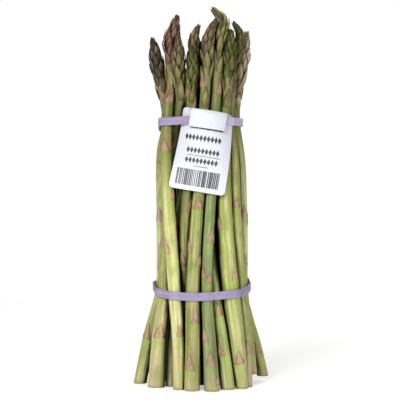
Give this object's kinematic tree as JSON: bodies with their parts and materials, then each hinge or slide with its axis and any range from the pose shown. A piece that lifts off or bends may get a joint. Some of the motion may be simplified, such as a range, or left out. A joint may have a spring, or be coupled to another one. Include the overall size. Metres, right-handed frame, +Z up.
{
  "type": "bundle of asparagus",
  "caption": "Tied bundle of fresh green asparagus spears standing on their cut ends, with scaly purple-tinged tips, flat rubber bands and a blank produce card.",
  "frame": {"origin": "middle of the bundle at the height of the cut ends, where it stands", "axes": "+Z up along the spears, -Y is the side that carries the card, +X to the right of it"},
  "size_m": [0.0871, 0.0646, 0.2385],
  "materials": {
    "stem_green": "satin",
    "stem_pale": "satin",
    "stem_blue_green": "satin",
    "stem_tan": "satin",
    "stem_olive": "satin",
    "band": "matte",
    "card": "satin"
  },
  "bodies": {
    "root": {"spear_left_outer": "stem_green", "spear_left_tan": "stem_tan", "spear_left_pale": "stem_pale", "spear_left_inner": "stem_green", "spear_front_olive": "stem_olive", "spear_front_middle": "stem_green", "spear_front_right": "stem_blue_green", "spear_right_inner": "stem_green", "spear_right_pale": "stem_pale", "spear_right_narrow": "stem_pale", "spear_right_olive": "stem_olive", "spear_right_outer": "stem_green", "spear_right_far": "stem_green", "spear_inner_01": "stem_green", "spear_inner_02": "stem_olive", "spear_inner_03": "stem_green", "spear_inner_04": "stem_pale", "spear_inner_05": "stem_green", "spear_inner_06": "stem_olive", "spear_inner_07": "stem_green", "spear_inner_08": "stem_pale", "spear_inner_09": "stem_green", "spear_inner_10": "stem_olive", "spear_inner_11": "stem_green", "spear_inner_12": "stem_pale", "band_lower": "band", "band_upper": "band", "produce_card": "card"}
  },
  "joints": []
}
